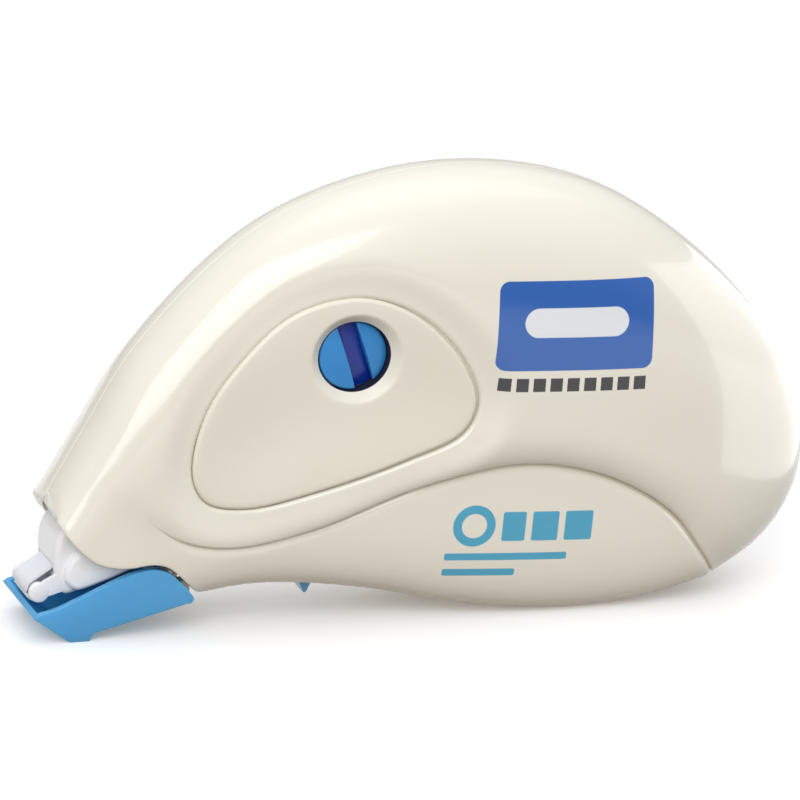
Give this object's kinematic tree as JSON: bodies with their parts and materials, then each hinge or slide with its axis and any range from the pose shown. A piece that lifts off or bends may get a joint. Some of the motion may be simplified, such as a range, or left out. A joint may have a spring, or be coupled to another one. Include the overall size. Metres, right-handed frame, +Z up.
{
  "type": "correction tape roller",
  "caption": "Pocket correction tape roller: whale-shaped two-part body, hinged tip cap, applicator head, geared tape reels and a slotted tension knob.",
  "frame": {"origin": "middle of the footprint of the bounding box, on the surface that the tool stands on", "axes": "+X to the rear of the tool, -X to the writing tip, -Y to the side with the tension knob, +Z up"},
  "size_m": [0.0952, 0.024, 0.0529],
  "materials": {
    "shell_plastic": "glossy pearl ivory moulding",
    "panel_plastic": "satin ivory moulding",
    "blue_plastic": "glossy mid blue moulding",
    "head_plastic": "translucent natural moulding",
    "reel_plastic": "translucent natural moulding",
    "gear_plastic": "satin acetal",
    "black_plastic": "satin black moulding",
    "clutch_rubber": "dull black rubber",
    "correction_film": "matte white correction film",
    "liner_paper": "bare glassine liner"
  },
  "bodies": {
    "housing": {"left_shell": "shell_plastic", "right_shell": "shell_plastic", "left_thumb_panel": "panel_plastic", "right_thumb_panel": "panel_plastic", "cap_catch": "blue_plastic", "applicator_head": "head_plastic", "guide_pin": "gear_plastic", "chassis": "blue_plastic", "supply_retainer": "black_plastic", "fresh_tape_run": "correction_film", "used_liner_run": "liner_paper"},
    "tip_cap": {"tip_cap": "blue_plastic"},
    "supply_drive": {"supply_gear": "gear_plastic", "clutch_ring": "clutch_rubber"},
    "supply_reel": {"supply_core": "reel_plastic", "supply_tape_roll": "correction_film"},
    "take_up_reel": {"take_up_gear": "gear_plastic", "take_up_core": "reel_plastic", "take_up_liner_roll": "liner_paper", "tension_knob": "blue_plastic"}
  },
  "joints": [
    {"name": "cap_hinge", "type": "hinge", "parent": "housing", "child": "tip_cap", "pos_m": [-0.0292, 0, 0.0042], "axis": [0, -1, 0], "range_deg": [0, 147]},
    {"name": "supply_gear_spin", "type": "hinge", "parent": "housing", "child": "supply_drive", "pos_m": [0.01265, 0, 0.02904], "axis": [0, 1, 0], "continuous": true},
    {"name": "supply_slip", "type": "hinge", "parent": "supply_drive", "child": "supply_reel", "pos_m": [0.01265, 0, 0.02904], "axis": [0, 1, 0], "continuous": true},
    {"name": "take_up_spin", "type": "hinge", "parent": "housing", "child": "take_up_reel", "pos_m": [-0.0111, 0, 0.0328], "axis": [0, 1, 0], "continuous": true}
  ],
  "couplings": [
    {"joint": "take_up_spin", "follows": "supply_gear_spin", "ratio": -2.3636}
  ]
}
